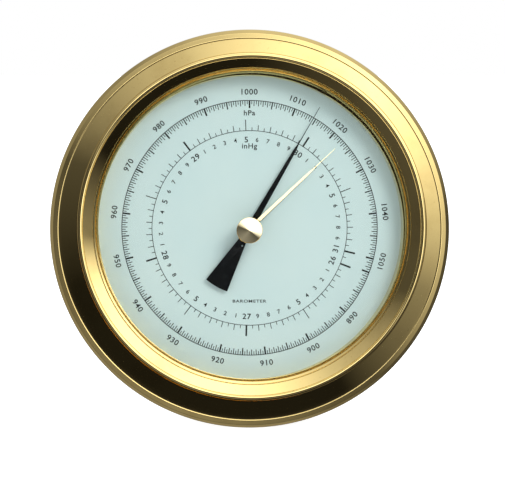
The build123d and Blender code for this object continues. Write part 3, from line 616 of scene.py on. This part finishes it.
def make_case():
    replace_node("turned_bezel", "bezel_ring", "case", spun("turned_bezel", bezel_section))
    sight = turned("sight_ring", glass_ring_outline(), centre=GLASS_RING_SHIFT)
    replace_node("sight_ring", "glass_ring", "case", sight)
    replace_node("drum_shell", "case_drum", "case", turned("drum_shell", drum_outline()))
    replace_node("distance_ring", "spacer_ring", "case", turned("distance_ring", spacer_outline()))
    replace_node("front_glass", "glass_pane", "case", turned("front_glass", glass_outline()))


# ---------------------------------------------------------------- printed dial

class Printer:
    """Collects ticks, circles and figures as thin solids on the dial's face."""

    def __init__(self):
        self.builder = bmesh.new()
        self.low = DIAL_FACE + PRINT_LIFT
        self.high = self.low + PRINT_THICKNESS
        self.figures = {}

    def prism(self, corners):
        """A closed flat solid over dial-plane corners given anticlockwise as the viewer sees them."""
        low = [self.builder.verts.new(place(x, y, self.low)) for x, y in corners]
        high = [self.builder.verts.new(place(x, y, self.high)) for x, y in corners]
        self.builder.faces.new(high)
        self.builder.faces.new(low[::-1])
        for i in range(len(corners)):
            j = (i + 1) % len(corners)
            self.builder.faces.new((low[i], low[j], high[j], high[i]))

    def tick(self, angle, inner, outer, width):
        along = Vector(clockwise(1, angle))
        across = Vector((along.y, -along.x)) * (width / 2)
        near = along * inner
        far = along * outer
        self.prism([tuple(end) for end in (near - across, near + across, far + across, far - across)])

    def circle(self, radius, width):
        steps = TURNED_SEGMENTS
        loops = []
        for ring_radius, height in (
            (radius - width / 2, self.low),
            (radius + width / 2, self.low),
            (radius + width / 2, self.high),
            (radius - width / 2, self.high),
        ):
            places = [clockwise(ring_radius, -360 * i / steps) for i in range(steps)]
            loops.append([self.builder.verts.new(place(x, y, height)) for x, y in places])
        for here, there in zip(loops, loops[1:] + loops[:1]):
            for i in range(steps):
                j = (i + 1) % steps
                self.builder.faces.new((here[i], here[j], there[j], there[i]))

    def figure(self, text):
        """The outline mesh of a piece of text, with its size."""
        if text not in self.figures:
            curve = bpy.data.curves.new("figure", "FONT")
            curve.body = text
            curve.align_x = "CENTER"
            curve.align_y = "CENTER"
            curve.extrude = PRINT_THICKNESS / 2
            curve.offset = 0.015
            curve.space_character = 1.12
            curve.resolution_u = 5
            holder = bpy.data.objects.new("figure", curve)
            bpy.context.scene.collection.objects.link(holder)
            bpy.context.view_layer.update()
            mesh = bpy.data.meshes.new_from_object(holder)
            bpy.data.objects.remove(holder)
            bpy.data.curves.remove(curve)
            self.figures[text] = mesh
        return self.figures[text]

    def text(self, text, centre, height, turn=0.0, condense=1.04):
        """Writes text about a centre; height is that of the figures and turn is clockwise in degrees."""
        mesh = self.figure(text)
        low_x, high_x = min(v.co.x for v in mesh.vertices), max(v.co.x for v in mesh.vertices)
        low_y, high_y = min(v.co.y for v in mesh.vertices), max(v.co.y for v in mesh.vertices)
        capital = self.figure("0" if text[0].isdigit() else "H")
        tall = max(v.co.y for v in capital.vertices) - min(v.co.y for v in capital.vertices)
        scale = height / tall
        middle = ((low_x + high_x) / 2, (low_y + high_y) / 2)
        cosine, sine = cos(radians(turn)), sin(radians(turn))
        made = []
        level = (self.low + self.high) / 2
        for vertex in mesh.vertices:
            x = (vertex.co.x - middle[0]) * scale * condense
            y = (vertex.co.y - middle[1]) * scale
            right = centre[0] + x * cosine + y * sine
            up = centre[1] - x * sine + y * cosine
            made.append(self.builder.verts.new(place(right, up, level + vertex.co.z)))
        for polygon in mesh.polygons:
            self.builder.faces.new([made[i] for i in polygon.vertices])

    def around(self, text, angle, radius, height):
        """Text set square to its radius, turned to be read upright in the lower half too."""
        wrapped = (angle + 180) % 360 - 180
        turn = wrapped if abs(wrapped) < 90 else wrapped + 180
        self.text(text, clockwise(radius, angle), height, turn)

    def finished(self, name):
        mesh = bpy.data.meshes.new(name)
        self.builder.normal_update()
        self.builder.to_mesh(mesh)
        self.builder.free()
        for figure in self.figures.values():
            bpy.data.meshes.remove(figure)
        return mesh


def print_hpa_scale(printer):
    """Ticks each half hectopascal all round, and figures each ten."""
    printer.circle(HPA_CIRCLE, 0.32)
    half_steps = round(360 / DEGREES_PER_HPA * 2)
    for i in range(half_steps):
        reading = HPA_LOW + i / 2
        angle = (reading - HPA_CENTRE) * DEGREES_PER_HPA
        in_scale = reading <= HPA_HIGH
        if in_scale and reading % 10 == 0:
            length, width = 3.3, 0.7
        elif in_scale and reading % 5 == 0:
            length, width = 3.0, 0.5
        elif reading % 1 == 0:
            length, width = 2.4, 0.34
        else:
            length, width = 1.6, 0.3
        printer.tick(angle, HPA_CIRCLE - length, HPA_CIRCLE, width)
    for reading in range(HPA_LOW + 10, HPA_HIGH + 1, 10):
        angle = (reading - HPA_CENTRE) * DEGREES_PER_HPA
        printer.around(str(reading), angle, HPA_LABEL_RADIUS, FIGURE_HEIGHT)
    printer.text("hPa", (0, 49.4), 2.2)


def print_inhg_scale(printer):
    """Ticks each twentieth of an inch, and figures each tenth."""
    printer.circle(INHG_CIRCLE, 0.26)
    for i in range((INHG_HIGH - INHG_LOW) * 20 + 2):
        angle = (INHG_LOW + i / 20 - INHG_CENTRE) * DEGREES_PER_INHG
        if i % 20 == 0:
            length, width = 4.7, 0.72
        elif i % 10 == 0:
            length, width = 4.7, 0.34
        elif i % 2 == 0:
            length, width = 2.5, 0.3
        else:
            length, width = 1.45, 0.27
        if i > (INHG_HIGH - INHG_LOW) * 20:
            length, width = 1.45, 0.27
        printer.tick(angle, INHG_CIRCLE, INHG_CIRCLE + length, width)
    for i in range((INHG_HIGH - INHG_LOW) * 10 + 1):
        angle = (INHG_LOW + i / 10 - INHG_CENTRE) * DEGREES_PER_INHG
        tenth = i % 10
        text = str(INHG_LOW + i // 10) if tenth == 0 else str(tenth)
        height = FIGURE_HEIGHT if tenth in (0, 5) else SMALL_FIGURE_HEIGHT
        printer.around(text, angle, INHG_LABEL_RADIUS, height)
    printer.text("inHg", (0, 34.9), 2.2)


def make_dial_print():
    printer = Printer()
    print_hpa_scale(printer)
    print_inhg_scale(printer)
    printer.text("BAROMETER", (0, -31.4), 1.25, condense=1.35)
    add_object("dial_print", printer.finished("dial_print"), printing_ink(), "case")


# ---------------------------------------------------------------- hands and knob

def knob_outline():
    edge = 0.12
    shaft_low = -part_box("set_knob")[1].y / MM
    rise = (KNOB_TOP - KNOB_RIM) / KNOB_RADIUS
    return outline(
        (0, shaft_low),
        (KNOB_SHAFT_RADIUS, shaft_low),
        (KNOB_SHAFT_RADIUS, KNOB_REAR),
        (KNOB_RADIUS - edge, KNOB_REAR),
        (KNOB_RADIUS, KNOB_REAR + edge),
        (KNOB_RADIUS, KNOB_RIM - edge),
        (KNOB_RADIUS - edge, KNOB_RIM),
        (KNOB_RADIUS - 0.3, KNOB_RIM + 0.2 * rise),
        (0.3, KNOB_TOP - 0.3 * rise),
        (0.12, KNOB_TOP - 0.12 * rise),
        (0, KNOB_TOP),
    )


def set_hand_mesh():
    """A slim hand with its ridge near one edge, on a small hub ring."""
    stations = ((2.2, 0.85), (34, 0.5), (36, 0.42), (39, 0.2), (50, 0.1))
    side = 0.1
    slope = tan(radians(9))
    along = Vector(clockwise(1, SET_HAND_ANGLE))
    across = Vector((along.y, -along.x))
    hub = turned("set_hand_bar", outline(
        (KNOB_SHAFT_RADIUS, SET_HAND_REAR),
        (3.0, SET_HAND_REAR),
        (3.0, SET_HAND_REAR + 0.2),
        (2.9, SET_HAND_REAR + 0.3),
        (KNOB_SHAFT_RADIUS, SET_HAND_REAR + 0.3),
    ), 96)
    builder = bmesh.new()
    builder.from_mesh(hub)
    sections = []
    for distance, half in stations:
        crest = 0.7 * half
        ridge = min(side + (half + crest) * slope, 0.3)
        section = []
        for offset, height in ((-half, 0), (half, 0), (half, side), (crest, ridge), (-half, side)):
            spot = along * distance + across * offset
            section.append(builder.verts.new(place(spot.x, spot.y, SET_HAND_REAR + height)))
        sections.append(section)
    for here, there in zip(sections, sections[1:]):
        for i in range(5):
            j = (i + 1) % 5
            builder.faces.new((here[i], here[j], there[j], there[i]))
    builder.faces.new(sections[0][::-1])
    builder.faces.new(sections[-1])
    bmesh.ops.recalc_face_normals(builder, faces=builder.faces)
    builder.to_mesh(hub)
    builder.free()
    shade_smooth(hub, 8)
    return hub


def make_hands():
    replace_node("turned_knob", "set_knob", "set_hand", turned("turned_knob", knob_outline(), 180))
    replace_node("pointer_hand", "pointer", "pointer", bevelled_copy("pointer_hand", "pointer", 0.06))
    replace_node("marker_hand", "set_hand", "set_hand", set_hand_mesh())


# ---------------------------------------------------------------- studio

# Brightness of the neutral studio that reflections see: soft lamp, pale wall, two dimmer tones, shade.
LAMP = 2.2
WALL = 0.8
HALF_LIT = 0.3
DIM = 0.09
SHADE = 0.015


def around(*stops):
    """Ramp stops round the viewing axis, from (degrees anticlockwise from the right, brightness)."""
    placed = [(angle / 360, (light, light, light, 1.0)) for angle, light in stops]
    return placed + [(1.0, placed[0][1])]


# The studio in rings about the viewing axis, each with the angles between which it fades in.
# The soft lamp is to the upper right with the pale wall beside it, and the shade is below and to the left.
AHEAD = around((0, SHADE))
NEAR_RING = around((0, LAMP), (130, LAMP), (160, DIM), (230, HALF_LIT), (320, DIM), (350, LAMP))
INNER_RING = around((0, WALL), (50, LAMP), (100, WALL), (160, DIM), (250, HALF_LIT), (310, DIM))
MIDDLE_RING = around(
    (0, WALL), (50, LAMP), (110, WALL), (160, DIM), (200, SHADE), (300, SHADE), (340, HALF_LIT)
)
OUTER_RING = around(
    (0, HALF_LIT), (20, LAMP), (80, LAMP), (120, WALL), (160, DIM), (230, DIM), (270, SHADE), (330, SHADE)
)
SIDES = around((0, DIM), (60, WALL), (90, WALL), (130, HALF_LIT), (280, HALF_LIT), (310, DIM))
ROOM = (
    (9, 14, NEAR_RING), (28, 32, INNER_RING), (42, 46, MIDDLE_RING), (62, 65, OUTER_RING), (88, 95, SIDES),
)
BACK_OF_ROOM = (0.72, 0.75, 0.77, 1.0)
SOFT_FILL = (0.79, 0.83, 0.835, 1.0)
WHITE = (1.0, 1.0, 1.0, 1.0)
KEY_POWER = 6.4
KEY_SIZE = 0.5
KEY_DISTANCE = 1.2
KEY_COLOUR = (1.0, 0.97, 0.92)
FLOOR_GLOW = 0.9


def make_world():
    """Soft pale light on surfaces, the neutral studio for reflections and white behind the object."""
    world = bpy.data.worlds.new("studio")
    bpy.context.scene.world = world
    world.use_nodes = True
    world.cycles.sampling_method = "NONE"
    nodes = Nodes(world.node_tree)
    direction = nodes.add("ShaderNodeTexCoord").outputs["Generated"]
    levelled = nodes.add("ShaderNodeVectorRotate", {"rotation_type": "X_AXIS"}, Vector=direction)
    levelled.inputs["Angle"].default_value = -radians(CAMERA_ELEVATION)
    parts = nodes.add("ShaderNodeSeparateXYZ", Vector=levelled.outputs[0])
    from_axis = nodes.math("ARCCOSINE", nodes.math("MULTIPLY", parts.outputs[1], -1.0))
    tilt = nodes.math("MULTIPLY", from_axis, 180 / pi)
    angle = nodes.math("ARCTAN2", parts.outputs[2], parts.outputs[0])
    turn = nodes.math("FRACT", nodes.math("DIVIDE", angle, 2 * pi))
    room = nodes.ramp(turn, AHEAD)
    for low, high, stops in ROOM:
        room = nodes.mix(nodes.spread(tilt, low, high, smooth=True), room, nodes.ramp(turn, stops))
    room = nodes.mix(nodes.spread(tilt, 150, 165, smooth=True), room, BACK_OF_ROOM)
    path = nodes.add("ShaderNodeLightPath")
    mirrored = nodes.math("MAXIMUM", path.outputs["Is Glossy Ray"], path.outputs["Is Transmission Ray"])
    lit = nodes.mix(mirrored, SOFT_FILL, room)
    colour = nodes.mix(path.outputs["Is Camera Ray"], lit, WHITE)
    background = nodes.add("ShaderNodeBackground", Color=colour, Strength=1.0)
    output = nodes.add("ShaderNodeOutputWorld")
    nodes.feed(output.inputs[0], background.outputs[0])


def make_key_light():
    """A soft lamp from the upper right, which throws the hands' shadows to the lower left."""
    data = bpy.data.lights.new("key", "AREA")
    data.shape = "DISK"
    data.size = KEY_SIZE
    data.energy = KEY_POWER
    data.color = KEY_COLOUR
    light = bpy.data.objects.new("key", data)
    bpy.context.scene.collection.objects.link(light)
    towards = Vector((0.45, -0.75, 0.5)).normalized()
    light.location = CAMERA_AIM + towards * KEY_DISTANCE
    light.rotation_mode = "QUATERNION"
    light.rotation_quaternion = towards.to_track_quat("Z", "Y")
    light.visible_glossy = False


def make_floor():
    """A plain pale floor that the rim just touches."""
    low = cad_box[0].z
    half = FLOOR_SIZE / 2
    mesh = bpy.data.meshes.new("floor")
    corners = [(-half, -half, low), (half, -half, low), (half, half, low), (-half, half, low)]
    mesh.from_pydata(corners, [], [(0, 1, 2, 3)])
    material, nodes = material_nodes("pale floor")
    mottle = nodes.noise(nodes.place(), 3.0, 2.0, 0.5)
    base = nodes.mix(mottle, (0.86, 0.86, 0.86, 1.0), (0.88, 0.88, 0.88, 1.0))
    shader = nodes.surface(Base_Color=base, Roughness=0.9)
    shader.inputs["Emission Color"].default_value = WHITE
    shader.inputs["Emission Strength"].default_value = FLOOR_GLOW
    mesh.materials.append(material)
    floor = bpy.data.objects.new("floor", mesh)
    bpy.context.scene.collection.objects.link(floor)
    floor.visible_glossy = False
    floor.visible_diffuse = False
    floor.visible_transmission = False


def make_camera():
    data = bpy.data.cameras.new("camera")
    data.sensor_width = 36.0
    data.lens = CAMERA_LENS
    camera = bpy.data.objects.new("camera", data)
    bpy.context.scene.collection.objects.link(camera)
    rise = radians(CAMERA_ELEVATION)
    back = Vector((0, -cos(rise), sin(rise)))
    camera.location = CAMERA_AIM + back * CAMERA_DISTANCE
    camera.rotation_mode = "QUATERNION"
    camera.rotation_quaternion = back.to_track_quat("Z", "Y")
    bpy.context.scene.camera = camera


finish_cad_nodes()
make_case()
make_dial_print()
make_hands()
make_camera()
make_world()
make_key_light()
make_floor()
bpy.context.scene.view_settings.view_transform = "Standard"
